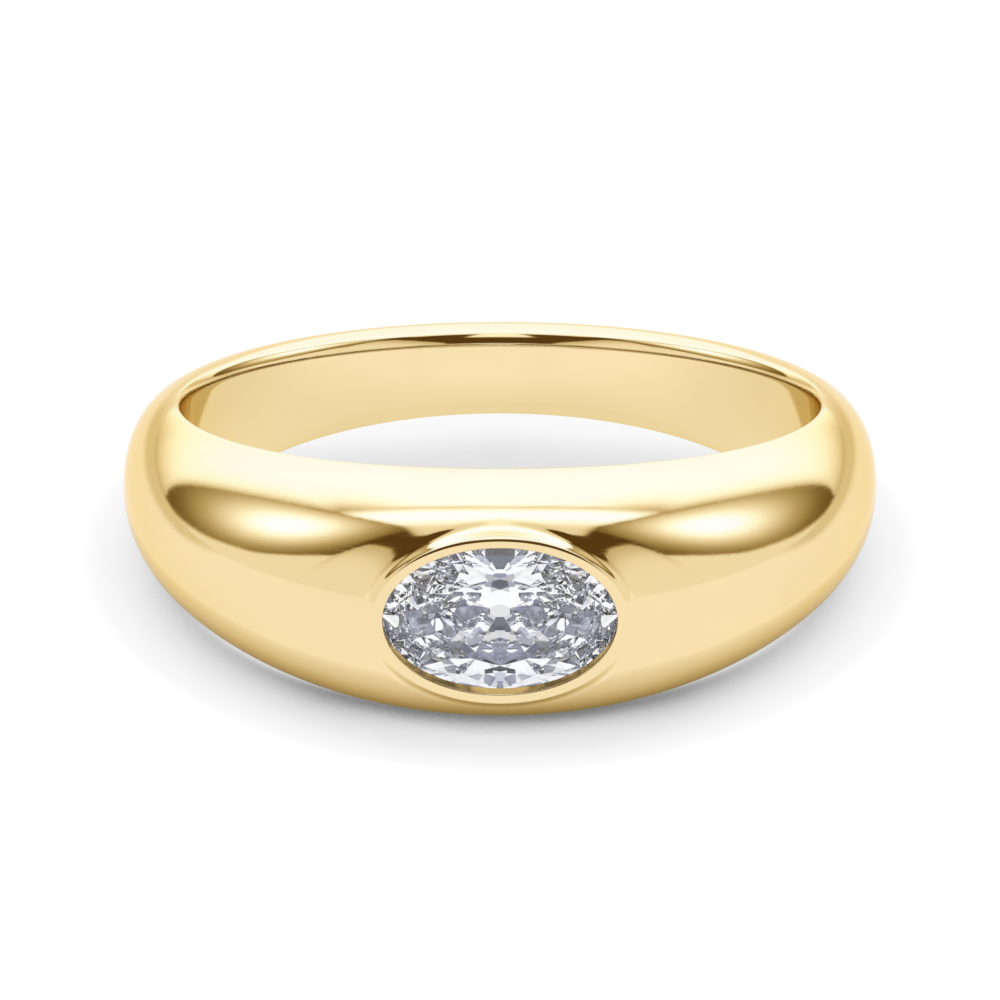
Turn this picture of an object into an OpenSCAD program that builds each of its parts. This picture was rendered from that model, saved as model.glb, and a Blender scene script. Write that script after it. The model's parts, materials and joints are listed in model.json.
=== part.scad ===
// Bezel set ring: a tapered dome band with one oval brilliant-cut stone, lying on its side.

/* [Band] */
// Inside diameter of the band, where the finger goes
inside_d = 16.5; // [15.5:0.1:17.5]
// Radius of the soft edge between the bore and each side of the band
edge_r = 0.26; // [0.2:0.01:0.3]

/* [Width along the finger] */
// Width at the stone
front_w = 6.45; // [6.3:0.05:7]
// Width an eighth of a turn from the stone
shoulder_w = 5.70; // [5.5:0.05:6]
// Width at the side
side_w = 4.27; // [4.1:0.01:4.5]
// Width an eighth of a turn from the back
rear_w = 2.86; // [2.7:0.02:3.1]
// Width at the back
back_w = 2.32; // [2.2:0.02:2.6]

/* [Wall] */
// Height of the whole dome over the bore, before the setting cuts it flat
front_t = 3.14; // [3:0.02:3.3]
// Wall an eighth of a turn from the stone
shoulder_t = 2.36; // [2.2:0.02:2.5]
// Wall at the side
side_t = 1.57; // [1.4:0.01:1.7]
// Wall an eighth of a turn from the back
rear_t = 1.84; // [1.6:0.02:1.9]
// Wall at the back
back_t = 1.77; // [1.6:0.01:1.9]

/* [Stone] */
// Length of the oval stone
stone_l = 6.0; // [5.8:0.05:6.1]
// Width of the oval stone
stone_w = 4.0; // [3.8:0.05:4.1]
// Height of the crown, from the girdle up to the table
crown_h = 0.56; // [0.5:0.02:0.6]
// Thickness of the girdle
girdle_t = 0.12; // [0.08:0.01:0.16]
// Depth of the pavilion, from the girdle down to the point
pavilion_h = 1.62; // [1.5:0.02:1.66]
// Width of the table as a share of the stone
table_share = 0.58; // [0.54:0.01:0.62]

/* [Setting] */
// Height of the flat rim over the bore
rim_h = 2.57; // [2.5:0.01:2.6]
// Overhang of the rim over the girdle, all round
lip = 0.05; // [0.04:0.01:0.08]
// Width of the flat rim
rim_w = 0.18; // [0.15:0.01:0.25]
// Radius of the rim's outer edge
rim_edge_r = 0.09; // [0.06:0.01:0.12]
// Radius of the hollow between the rim and the dome
rim_hollow_r = 0.34; // [0.25:0.01:0.38]
// Depth of the girdle under the rim
girdle_drop = 0.50; // [0.45:0.01:0.55]
// Gap between the stone and its seat
seat_gap = 0.03; // [0.02:0.005:0.04]

/* [Hidden] */

bore_r = inside_d / 2;
edge_ring_r = bore_r + edge_r;

// Five sections, an eighth of a turn apart, from the stone round to the back.
// Columns: width, wall, flatness of the crown's top, fullness of its shoulders
WIDTH = 0;
WALL = 1;
FLAT = 2;
FULL = 3;
sections = [
    [front_w, front_t, 2.30, 1.95],
    [shoulder_w, shoulder_t, 2.05, 1.30],
    [side_w, side_t, 2.15, 1.55],
    [rear_w, rear_t, 2.55, 2.70],
    [back_w, back_t, 2.70, 4.55],
];
last = len(sections) - 1;

function sum(v, i = 0) = i < len(v) ? v[i] + sum(v, i + 1) : 0;
function end_share(i) = i == 0 || i == last ? 0.5 : 1;

// A cosine series through the five sections makes every size run smoothly round the ring
waves = [for (column = [WIDTH:FULL]) [for (k = [0:last])
    end_share(k) * 2 / last * sum([for (i = [0:last])
        end_share(i) * sections[i][column] * cos(180 * k * i / last)])]];
function size_at(column, turn) = sum([for (k = [0:last]) waves[column][k] * cos(k * turn)]);

// A point at a turn round the finger from the stone, a radius, and a height along the finger
function around(turn, r, z) = [r * sin(turn), -r * cos(turn), z];

// The crown of a section runs from its upper side (swing 0) over the top (90) to its lower side
function crown_point(turn, swing) = let (
    half = size_at(WIDTH, turn) / 2,
    rise = size_at(WALL, turn) - edge_r,
    across = sign(cos(swing)) * pow(abs(cos(swing)), 2 / size_at(FLAT, turn)),
    up = pow(abs(sin(swing)), 2 / size_at(FULL, turn))
) around(turn, edge_ring_r + rise * up, half * across);

// The soft edge runs from near the bore (swing 0) to the band's side (90); side is 1 above, -1 below
function edge_point(turn, swing, side) = let (half = size_at(WIDTH, turn) / 2)
    around(turn, edge_ring_r - edge_r * cos(swing), side * (half - edge_r * (1 - sin(swing))));

// The blank stands a little inside the bore, which is cut true afterwards
blank_inset = 0.05;
blank_setback = 1.6 * edge_r;
function bore_point(turn, side) =
    around(turn, bore_r - blank_inset, side * (size_at(WIDTH, turn) / 2 - blank_setback));

// One section, from the bore's upper edge over the crown to the bore's lower edge
edge_swings = [30, 50, 70];
crown_steps = 24;
function section(turn) = concat(
    [bore_point(turn, 1)],
    [for (swing = edge_swings) edge_point(turn, swing, 1)],
    [for (i = [0:crown_steps]) crown_point(turn, 180 * i / crown_steps)],
    [for (i = [len(edge_swings) - 1:-1:0]) edge_point(turn, edge_swings[i], -1)],
    [bore_point(turn, -1)]
);
section_n = crown_steps + 1 + 2 * (len(edge_swings) + 1);

// The setting's patch replaces the crown between two turns and two rows of the sections
patch_turn = 23.5;
patch_steps = 16;
row_top = 1 + len(edge_swings) + (crown_steps - patch_steps) / 2;
row_low = row_top + patch_steps;
rest_steps = 72;
rest_turn = (360 - 2 * patch_turn) / rest_steps;
turns = concat(
    [for (i = [0:patch_steps]) patch_turn * (2 * i / patch_steps - 1)],
    [for (i = [1:rest_steps - 1]) patch_turn + rest_turn * i]
);
turn_n = len(turns);
band_points = [for (turn = turns) each section(turn)];

function band_index(t, row) = (t % turn_n) * section_n + row % section_n;
function in_patch(t, row) = t < patch_steps && row >= row_top && row < row_low;

// The patch's border, clockwise as seen from the front, from its upper left corner
border = concat(
    [for (i = [0:patch_steps - 1]) band_index(i, row_top)],
    [for (i = [0:patch_steps - 1]) band_index(patch_steps, row_top + i)],
    [for (i = [0:patch_steps - 1]) band_index(patch_steps - i, row_low)],
    [for (i = [0:patch_steps - 1]) band_index(0, row_low - i)]
);
border_n = len(border);

// Radius of the dome at a turn and a height along the finger
function dome_r(turn, z) = let (
    side = pow(min(1, 2 * abs(z) / size_at(WIDTH, turn)), size_at(FLAT, turn))
) edge_ring_r + (size_at(WALL, turn) - edge_r) * pow(1 - side, 1 / size_at(FULL, turn));

// Rows of the setting: distance outside the flat rim, and share of the rim's own height kept
rim_reach = bore_r + rim_h;
blank_band = 0.5;
edge_share = rim_edge_r / (rim_edge_r + rim_hollow_r);
rim_rows = concat(
    [[-blank_band, 1]],
    [for (a = [0:30:90]) [rim_edge_r * sin(a), 1 - edge_share * (1 - cos(a))]],
    [for (a = [15:15:90]) [rim_edge_r + rim_hollow_r * (1 - cos(a)), (1 - edge_share) * (1 - sin(a))]]
);
rim_l = stone_l / 2 - lip + rim_w;
rim_s = stone_w / 2 - lip + rim_w;
function oval_point(i, out) = let (a = 135 - 360 * i / border_n)
    [(rim_l + out) * cos(a), (rim_s + out) * sin(a)];
function plane_turn(x) = atan(x / rim_reach);
function rim_point(i, row) = let (
    p = oval_point(i, rim_rows[row][0]),
    turn = plane_turn(p.x),
    dome = dome_r(turn, p.y),
    plane = rim_reach / cos(turn)
) around(turn, dome + (plane - dome) * rim_rows[row][1], p.y);

// Rows of the dome between the setting's foot and the patch's border
spread = 4;
function dome_point(i, row) = let (
    foot = oval_point(i, rim_edge_r + rim_hollow_r),
    goal = band_points[border[i]],
    start_turn = plane_turn(foot.x),
    turn = start_turn + (atan(-goal.x / goal.y) - start_turn) * row / spread,
    z = foot.y + (goal.z - foot.y) * row / spread
) around(turn, dome_r(turn, z), z);

rim_points = [for (row = [0:len(rim_rows) - 1]) for (i = [0:border_n - 1]) rim_point(i, row)];
dome_points = [for (row = [1:spread - 1]) for (i = [0:border_n - 1]) dome_point(i, row)];
blank_points = concat(band_points, rim_points, dome_points, [[0, -rim_reach, 0]]);

patch_start = len(band_points);
patch_rows = len(rim_rows) + spread - 1;
function patch_index(i, row) =
    row == patch_rows ? border[i % border_n] : patch_start + row * border_n + i % border_n;

blank_faces = concat(
    [for (t = [0:turn_n - 1]) for (row = [0:section_n - 1]) if (!in_patch(t, row))
        [band_index(t, row), band_index(t + 1, row),
            band_index(t + 1, row + 1), band_index(t, row + 1)]],
    [for (row = [0:patch_rows - 1]) for (i = [0:border_n - 1])
        [patch_index(i, row), patch_index(i, row + 1),
            patch_index(i + 1, row + 1), patch_index(i + 1, row)]],
    [for (i = [0:border_n - 1]) [len(blank_points) - 1, patch_index(i, 0), patch_index(i + 1, 0)]]
);

// The ring rests on its wider front edge and its back edge, so its axis leans back by this angle
lean = atan((front_w - back_w) / (4 * edge_ring_r));
lean_points = [for (p = band_points) [p.y * cos(lean) + p.z * sin(lean), p.z * cos(lean) - p.y * sin(lean)]];
front_y = -rim_reach * cos(lean) - rim_s * sin(lean);
back_y = max([for (p = lean_points) p[0]]);
floor_z = min([for (p = lean_points) p[1]]);

module at_rest() {
    translate([0, -(front_y + back_y) / 2, -floor_z])
        rotate([-lean, 0, 0])
            children();
}

// Places a thing on the setting's rim plane, with its +Z pointing out of the ring
module on_setting() {
    translate([0, -rim_reach, 0])
        rotate([90, 0, 0])
            children();
}

oval_n = 96;
module oval_post(long, short, height) {
    scale([long / 2, short / 2, 1])
        cylinder(r = 1, h = height, $fn = oval_n);
}

// The seat: an opening down to the stone, a groove for its girdle, a cone and a hole to the finger
open_l = stone_l - 2 * lip;
open_s = stone_w - 2 * lip;
groove_l = stone_l + 2 * seat_gap;
groove_s = stone_w + 2 * seat_gap;
groove_h = girdle_t + 3 * seat_gap;
groove_drop = girdle_drop + girdle_t + seat_gap;
cone_share = 0.58;
cone_h = pavilion_h * cone_share;
back_hole_share = 1 - cone_share + seat_gap;
over_cut = 1;

// The cutter's rings, from over the rim down into the bore. Columns: length, width, height over the rim
seat_rings = [
    [open_l, open_s, over_cut],
    [open_l, open_s, groove_h - groove_drop],
    [groove_l, groove_s, groove_h - groove_drop],
    [groove_l, groove_s, -groove_drop],
    [groove_l * back_hole_share, groove_s * back_hole_share, -groove_drop - cone_h],
    [groove_l * back_hole_share, groove_s * back_hole_share, -rim_h - over_cut],
];
seat_rows = len(seat_rings);
function seat_point(ring, i) = let (a = 360 * i / oval_n)
    [ring[0] / 2 * cos(a), ring[1] / 2 * sin(a), ring[2]];
function seat_index(row, i) = row * oval_n + i % oval_n;

module stone_seat() {
    polyhedron(
        points = [for (ring = seat_rings) for (i = [0:oval_n - 1]) seat_point(ring, i)],
        faces = concat(
            [[for (i = [oval_n - 1:-1:0]) seat_index(0, i)]],
            [for (row = [0:seat_rows - 2]) for (i = [0:oval_n - 1])
                [seat_index(row, i), seat_index(row, i + 1),
                    seat_index(row + 1, i + 1), seat_index(row + 1, i)]],
            [[for (i = [0:oval_n - 1]) seat_index(seat_rows - 1, i)]]
        ),
        convexity = 4
    );
}

module gold_ring() {
    color("gold")
        at_rest()
            difference() {
                polyhedron(points = blank_points, faces = blank_faces, convexity = 6);
                cylinder(r = bore_r, h = front_w + 2 * over_cut, center = true, $fn = 128);
                on_setting() stone_seat();
            }
}

// The stone is a brilliant of eight mains, worked out round and then drawn out to the oval.
// Radii are shares of the stone's half size; the facets run on past the girdle, which trims them.
mains = 8;
fold = 360 / mains;
run_on = 1.15;
star_r = 0.80;
lower_r = 0.24;
culet_r = 0.01;

function stone_point(a, r, h) = [r * cos(a) * stone_l / 2, r * sin(a) * stone_w / 2, h];

// Height of the plane through the side point (half a fold away) and the girdle's two points
function run_on_height(side_r, side_h) = let (
    side = [side_r * cos(fold / 2), side_r * sin(fold / 2), side_h],
    half_point = [cos(fold / 2), sin(fold / 2), 0],
    normal = cross(half_point - [1, 0, 0], side - [1, 0, 0])
) -normal.x * (run_on - 1) / normal.z;

// One half of the stone, as rings of points: its top, its side points, the mains' tips at the
// girdle, and the facets run on past the girdle, with one point far below to close it
module brilliant_half(top_r, top_h, side_r, anchor_h) {
    side_h = top_h * (1 - side_r * cos(fold / 2)) / (1 - top_r);
    main_h = run_on_height(side_r, side_h);
    half_h = side_h * (1 - run_on) / (1 - side_r);
    rings = [[0, top_r, top_h], [0.5, side_r, side_h], [0, 1, 0], [0, run_on, main_h], [0.5, run_on, half_h]];
    points = [for (ring = rings) for (i = [0:mains - 1]) stone_point(fold * (i + ring[0]), ring[1], ring[2])];
    top = [for (i = [0:mains - 1]) i];
    side = [for (i = top) mains + i];
    tip = [for (i = top) 2 * mains + i];
    main = [for (i = top) 3 * mains + i];
    half = [for (i = top) 4 * mains + i];
    anchor = len(rings) * mains;
    polyhedron(
        points = concat(points, [[0, 0, anchor_h]]),
        faces = concat(
            [[for (i = top) mains - 1 - i]],
            [for (i = top) let (j = (i + 1) % mains) each [
                [top[i], top[j], side[i]],
                [top[j], side[j], tip[j], side[i]],
                [side[i], tip[j], main[j], half[i]],
                [side[i], half[i], main[i], tip[i]],
                [half[i], main[j], anchor],
                [main[i], half[i], anchor]
            ]]
        ),
        convexity = 2
    );
}

module oval_stone() {
    color("lightcyan")
        at_rest()
            on_setting()
                translate([0, 0, -girdle_drop])
                    intersection() {
                        brilliant_half(table_share, crown_h, star_r, -2 * pavilion_h);
                        translate([0, 0, -girdle_t])
                            mirror([0, 0, 1])
                                brilliant_half(culet_r, pavilion_h, lower_r, -2 * crown_h);
                        translate([0, 0, -pavilion_h])
                            oval_post(stone_l, stone_w, pavilion_h + 2 * crown_h);
                    }
}

gold_ring();
oval_stone();
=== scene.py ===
import json
import math
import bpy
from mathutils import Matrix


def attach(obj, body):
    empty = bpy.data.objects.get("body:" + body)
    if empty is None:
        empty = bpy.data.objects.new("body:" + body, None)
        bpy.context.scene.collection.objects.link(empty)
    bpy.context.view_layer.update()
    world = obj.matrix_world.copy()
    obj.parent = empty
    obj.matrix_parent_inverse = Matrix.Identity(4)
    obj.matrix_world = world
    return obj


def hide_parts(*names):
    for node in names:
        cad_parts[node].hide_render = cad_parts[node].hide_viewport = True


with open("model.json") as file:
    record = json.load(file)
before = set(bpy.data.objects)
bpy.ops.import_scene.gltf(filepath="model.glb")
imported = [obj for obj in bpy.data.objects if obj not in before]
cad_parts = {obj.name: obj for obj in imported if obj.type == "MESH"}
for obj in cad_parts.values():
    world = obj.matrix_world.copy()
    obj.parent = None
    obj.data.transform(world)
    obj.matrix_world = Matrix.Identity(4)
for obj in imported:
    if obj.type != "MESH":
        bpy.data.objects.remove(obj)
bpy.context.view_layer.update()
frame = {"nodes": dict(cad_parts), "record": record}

from types import SimpleNamespace as Named

import bpy
from bpy.props import FloatProperty, FloatVectorProperty, IntProperty, PointerProperty
from mathutils import Vector

bl_info = {
    "name": "Bezel set ring",
    "version": (1, 0, 0),
    "blender": (4, 5, 0),
    "location": "View3D > Sidebar > Ring",
    "description": "Makes a tapered gold dome ring with an oval stone in a slim flush rim",
    "category": "Object",
}

MM = 0.001
BORE = next(mount for mount in frame["record"]["mounts"] if mount["name"] == "finger_bore")
BORE_CENTRE = Vector(BORE["pos_m"])
BORE_R_MM = BORE["dims"]["r_mm"]
LEAN = math.atan2(BORE["axis"][1], BORE["axis"][2])

# The band's five sections stand an eighth of a turn apart, from the stone round to the back
PLACES = ("the stone", "the shoulder", "the side", "the rear", "the back")
LAST = len(PLACES) - 1
COLUMNS = ("Width", "Wall", "Flatness", "Fullness")


class Field:
    """A value that a node tree works out at every point; sums on it add maths nodes"""

    def __init__(self, tree, socket):
        self.tree = tree
        self.socket = socket

    def maths(self, operation, *parts, clamp=False):
        node = self.tree.nodes.new("ShaderNodeMath")
        node.operation = operation
        node.use_clamp = clamp
        for slot, part in zip(node.inputs, parts):
            if isinstance(part, Field):
                self.tree.links.new(part.socket, slot)
            else:
                slot.default_value = part
        return Field(self.tree, node.outputs[0])

    def __add__(self, other):
        return self.maths("ADD", self, other)

    def __sub__(self, other):
        return self.maths("SUBTRACT", self, other)

    def __rsub__(self, other):
        return self.maths("SUBTRACT", other, self)

    def __mul__(self, other):
        return self.maths("MULTIPLY", self, other)

    def __truediv__(self, other):
        return self.maths("DIVIDE", self, other)

    def __rtruediv__(self, other):
        return self.maths("DIVIDE", other, self)

    def __neg__(self):
        return self * -1

    def __pow__(self, other):
        return self.maths("POWER", self, other)

    def sine(self):
        return self.maths("SINE", self)

    def cosine(self):
        return self.maths("COSINE", self)

    def arcsine(self):
        return self.maths("ARCSINE", self)

    def arctangent(self):
        return self.maths("ARCTANGENT", self)

    def size(self):
        return self.maths("ABSOLUTE", self)

    def sign(self):
        return self.maths("SIGN", self)

    def root(self):
        return self.maths("SQRT", self)

    def clamped(self):
        return self.maths("ADD", self, 0, clamp=True)

    def step(self, soft):
        """Runs smoothly from 0 to 1 as the value passes zero"""
        t = (self / soft + 0.5).clamped()
        return t * t * (3 - t * 2)

    def above(self, least):
        return self.maths("MAXIMUM", self, least)

    def is_number(self, number):
        """1 where a whole value is this number, 0 elsewhere"""
        return self.maths("COMPARE", self, number, 0.5)

    def fading(self, reach):
        """1 where the value is zero, falling off as it grows"""
        return self.maths("EXPONENT", -(self / reach))

    def bell(self, width):
        """1 where the value is zero, falling off on both sides"""
        t = self / width
        return (t * t).fading(1)

    def towards(self, other, share):
        return self + (other - self) * share

    def curve(self, points):
        """Reads a smooth curve through the points given"""
        node = self.tree.nodes.new("ShaderNodeFloatCurve")
        line = node.mapping.curves[0]
        while len(line.points) < len(points):
            line.points.new(0, 0)
        for place, point in zip(line.points, sorted(points)):
            place.location = point
            place.handle_type = "AUTO_CLAMPED"
        node.mapping.update()
        self.tree.links.new(self.socket, node.inputs["Value"])
        return Field(self.tree, node.outputs[0])


def split(tree, vector):
    """The three parts of a vector"""
    parts = tree.nodes.new("ShaderNodeSeparateXYZ")
    tree.links.new(vector, parts.inputs[0])
    return [Field(tree, part) for part in parts.outputs]


def add_input(tree, name, default, kind="NodeSocketFloat", subtype="NONE"):
    socket = tree.interface.new_socket(name=name, in_out="INPUT", socket_type=kind)
    if kind == "NodeSocketFloat":
        socket.subtype = subtype
    socket.default_value = default
    return socket


def column_names(column):
    return [f"{column} at {place}" for place in PLACES]


RIGHT_ANGLE = math.radians(90)
# The setting is a patch of the dome, between these two swings over it
PATCH_TOP = math.radians(30)
PATCH_LOW = math.radians(150)
# The patch has a square border, and the oval's points start at its upper left as the border's do
SIDES = 4
OVAL_START = math.radians(135)
# Faces across each net
EDGE_STEPS = 8
BORE_STEPS = 6
DOME_STEPS = 12
HOLLOW_STEPS = 16
RIM_EDGE_STEPS = 6
RIM_INNER_STEPS = 4
# Points that lie closer than this at a seam become one, and edges past this angle stay sharp
SEAM = 0.0005 * MM
CREASE = math.radians(35)

# The ring's finishes, as marked on its faces; the inner wall's darker gold is painted shade of the recess
# over the stone, not a finish of its own
FINISH_MARK = "finish"
POLISHED, SHADED_INNER_WALL, SEAT = range(3)


def end_share(i):
    """The first and the last term of the cosine series count half"""
    return 0.5 if i in (0, LAST) else 1


def build_section_group():
    """A group that gives a section's sizes at a turn, by a cosine series through the five sections"""
    tree = bpy.data.node_groups.new("Section at a turn", "GeometryNodeTree")
    add_input(tree, "Turn", 0)
    for column in COLUMNS:
        for name in column_names(column):
            add_input(tree, name, 1)
        tree.interface.new_socket(name=column, in_out="OUTPUT", socket_type="NodeSocketFloat")
    source = tree.nodes.new("NodeGroupInput")
    sink = tree.nodes.new("NodeGroupOutput")
    turn = Field(tree, source.outputs["Turn"])
    waves = [(turn * k).cosine() for k in range(1, LAST + 1)]
    shares = []
    for i in range(LAST + 1):
        share = end_share(0)
        for k, wave in enumerate(waves, start=1):
            share = wave * (end_share(k) * math.cos(math.pi * k * i / LAST)) + share
        shares.append(share * (end_share(i) * 2 / LAST))
    for column in COLUMNS:
        total = 0
        for share, name in zip(shares, column_names(column)):
            total = share * Field(tree, source.outputs[name]) + total
        tree.links.new(total.socket, sink.inputs[column])
    return tree


class RingTree:
    """The node tree of the gold ring, made of patches of the surface that are merged at their seams"""

    def __init__(self, sizes, finishes):
        self.tree = bpy.data.node_groups.new("Gold ring", "GeometryNodeTree")
        self.section_group = build_section_group()
        self.values = {}
        self.declare(sizes)
        self.tree.interface.new_socket(name="Ring", in_out="OUTPUT", socket_type="NodeSocketGeometry")
        self.source = self.tree.nodes.new("NodeGroupInput")
        self.sink = self.tree.nodes.new("NodeGroupOutput")
        self.join = self.tree.nodes.new("GeometryNodeJoinGeometry")
        self.lay_patches()
        self.finish(finishes)

    def declare(self, sizes):
        """Names each size as an input of the tree, with its value"""
        for column, numbers, subtype in (
            ("Width", sizes.width, "DISTANCE"),
            ("Wall", sizes.wall, "DISTANCE"),
            ("Flatness", sizes.flatness, "NONE"),
            ("Fullness", sizes.fullness, "NONE"),
        ):
            for name, number in zip(column_names(column), numbers):
                self.values[add_input(self.tree, name, number, subtype=subtype).identifier] = number
        for name, number in (
            ("Bore radius", sizes.inside_d / 2),
            ("Edge reach", sizes.edge_reach),
            ("Edge height", sizes.edge_h),
            ("Stone length", sizes.stone_l),
            ("Stone width", sizes.stone_w),
            ("Lip", sizes.lip),
            ("Rim height", sizes.rim_h),
            ("Rim width", sizes.rim_w),
            ("Rim outer radius", sizes.rim_edge_r),
            ("Rim inner radius", sizes.rim_inner_r),
            ("Rim hollow radius", sizes.rim_hollow_r),
            ("Groove depth", sizes.groove),
            ("Lip depth", sizes.lip_depth),
            ("Seat depth", sizes.seat_depth),
            ("Seat gap", sizes.seat_gap),
            ("Cone height", sizes.cone_h),
        ):
            self.values[add_input(self.tree, name, number, subtype="DISTANCE").identifier] = number
        for name, number in (
            ("Edge flatness", sizes.edge_flat),
            ("Back hole share", sizes.back_hole),
            ("Lean", LEAN),
            ("Setting half turn", sizes.patch_turn),
        ):
            self.values[add_input(self.tree, name, number).identifier] = number
        for name, number in (("Setting steps", sizes.patch_steps), ("Rest steps", sizes.rest_steps)):
            socket = add_input(self.tree, name, number, kind="NodeSocketInt")
            self.values[socket.identifier] = number
        socket = add_input(self.tree, "Bore centre", BORE_CENTRE, kind="NodeSocketVector")
        self.values[socket.identifier] = BORE_CENTRE

    def value(self, name):
        return Field(self.tree, self.source.outputs[name])

    def section(self, turn):
        """Half width, rise over the soft edge, flatness and fullness at a turn"""
        group = self.tree.nodes.new("GeometryNodeGroup")
        group.node_tree = self.section_group
        self.tree.links.new(turn.socket, group.inputs["Turn"])
        for column in COLUMNS:
            for name in column_names(column):
                self.tree.links.new(self.source.outputs[name], group.inputs[name])
        width, wall, flat, full = (Field(self.tree, group.outputs[column]) for column in COLUMNS)
        return width / 2, wall - self.value("Edge reach"), flat, full

    def around(self, turn, r, z):
        """A point at a turn round the finger from the stone, a radius, and a height along the finger"""
        return r * turn.sine(), -(r * turn.cosine()), z

    def edge_ring_r(self):
        return self.value("Bore radius") + self.value("Edge reach")

    def crown(self, turn, swing):
        """The dome of a section; the swing runs from 0 at its upper side over the top to half a turn"""
        half, rise, flat, full = self.section(turn)
        along = swing.cosine()
        up = swing.sine().clamped() ** (2 / full)
        z = half * along.sign() * along.size() ** (2 / flat)
        return self.around(turn, self.edge_ring_r() + rise * up, z)

    def edge(self, turn, swing, side):
        """The soft edge beside the bore; side is 1 above and -1 below"""
        half = self.section(turn)[0]
        flatter = self.value("Edge flatness")
        r = self.edge_ring_r() - self.value("Edge reach") * swing.cosine().clamped() ** flatter
        z = (half - self.value("Edge height") * (1 - swing.sine().clamped() ** flatter)) * side
        return self.around(turn, r, z)

    def bore(self, turn, share):
        """The round inside, where the share runs from 1 at its upper end to -1 at its lower end"""
        half = self.section(turn)[0]
        return self.around(turn, self.value("Bore radius"), (half - self.value("Edge height")) * share)

    def dome_r(self, turn, z):
        """Radius of the dome at a turn and a height along the finger"""
        half, rise, flat, full = self.section(turn)
        side = (z.size() / half).clamped() ** flat
        return self.edge_ring_r() + rise * (1 - side) ** (1 / full)

    def rim_reach(self):
        return self.value("Bore radius") + self.value("Rim height")

    def oval(self, u, out, scale=1):
        """A point of the oval, clockwise from the upper left as seen from the front, and out from the rim"""
        a = OVAL_START - u * math.tau
        long = self.value("Stone length") / 2 - self.value("Lip") + self.value("Rim width") + out
        short = self.value("Stone width") / 2 - self.value("Lip") + self.value("Rim width") + out
        return long * scale * a.cosine(), short * scale * a.sine()

    def rim_point(self, u, out, share, sink=0):
        """A point outside the flat rim, at a share of the rim's own height over the dome, sunk by a little"""
        x, z = self.oval(u, out)
        turn = (x / self.rim_reach()).arctangent()
        dome = self.dome_r(turn, z)
        plane = self.rim_reach() / turn.cosine()
        return self.around(turn, dome + (plane - dome) * share - sink, z)

    def border(self, u):
        """Shares across and down of the setting's square border, at the same line as the oval's point"""
        line = u * SIDES
        across = line.clamped() - (line - 2).clamped()
        down = (line - 1).clamped() - (line - 3).clamped()
        return across, down

    def dome_point(self, u, v):
        """The dome between the setting's foot and the border"""
        x, z = self.oval(u, self.value("Rim outer radius") + self.value("Rim hollow radius"))
        start = (x / self.rim_reach()).arctangent()
        across, down = self.border(u)
        goal = self.value("Setting half turn") * (across * 2 - 1)
        half, _, flat, _ = self.section(goal)
        along = (down * (PATCH_LOW - PATCH_TOP) + PATCH_TOP).cosine()
        goal_z = half * along.sign() * along.size() ** (2 / flat)
        turn = start + (goal - start) * v
        height = z + (goal_z - z) * v
        return self.around(turn, self.dome_r(turn, height), height)

    def hollow(self, u, v):
        swing = v * RIGHT_ANGLE
        outer = self.value("Rim outer radius")
        hollow = self.value("Rim hollow radius")
        reach = 1 - swing.cosine()
        sink = self.value("Groove depth") * (1 - (reach * math.tau).cosine()) / 2
        return self.rim_point(u, outer + hollow * reach, hollow / (outer + hollow) * (1 - swing.sine()), sink)

    def rim_edge(self, u, v):
        swing = v * RIGHT_ANGLE
        outer = self.value("Rim outer radius")
        hollow = self.value("Rim hollow radius")
        share = 1 - outer / (outer + hollow) * (1 - swing.cosine())
        return self.rim_point(u, outer * swing.sine(), share)

    def inside(self, u, out, depth, scale=1):
        """A point of the opening, at a depth under the flat rim"""
        x, z = self.oval(u, out, scale)
        return x, depth - self.rim_reach(), z

    def rim_flat(self, u, v):
        return self.inside(u, (self.value("Rim inner radius") - self.value("Rim width")) * (1 - v), 0)

    def rim_inner(self, u, v):
        swing = (1 - v) * RIGHT_ANGLE
        inner = self.value("Rim inner radius")
        out = inner * (1 - swing.sine()) - self.value("Rim width")
        return self.inside(u, out, inner * (1 - swing.cosine()))

    def opening(self, u, v):
        inner = self.value("Rim inner radius")
        low = self.value("Lip depth")
        return self.inside(u, -self.value("Rim width"), low + (inner - low) * v)

    def groove_out(self):
        """How far the seat's groove lies out from the rim's outer line"""
        return self.value("Lip") + self.value("Seat gap") - self.value("Rim width")

    def under_lip(self, u, v):
        full = self.groove_out()
        out = full + (-self.value("Rim width") - full) * v
        return self.inside(u, out, self.value("Lip depth"))

    def groove(self, u, v):
        low = self.value("Seat depth")
        return self.inside(u, self.groove_out(), low + (self.value("Lip depth") - low) * v)

    def cone(self, u, v):
        share = self.value("Back hole share")
        depth = self.value("Seat depth") + self.value("Cone height") * (1 - v)
        return self.inside(u, self.groove_out(), depth, share + (1 - share) * v)

    def back_hole(self, u, v):
        x, z = self.oval(u, self.groove_out(), self.value("Back hole share"))
        top = self.value("Seat depth") + self.value("Cone height") - self.rim_reach()
        bore_r = self.value("Bore radius")
        low = -(bore_r * bore_r - x * x).root()
        return x, low + (top - low) * v, z

    def bore_setting(self, u, v):
        """The bore's wall round the back hole"""
        x, z = self.oval(u, self.groove_out(), self.value("Back hole share"))
        start = (x / self.value("Bore radius")).arcsine()
        across, down = self.border(u)
        goal = self.value("Setting half turn") * (across * 2 - 1)
        half = self.section(goal)[0]
        goal_z = (half - self.value("Edge height")) * (0.5 - down)
        turn = goal + (start - goal) * v
        return self.around(turn, self.value("Bore radius"), goal_z + (z - goal_z) * v)

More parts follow.
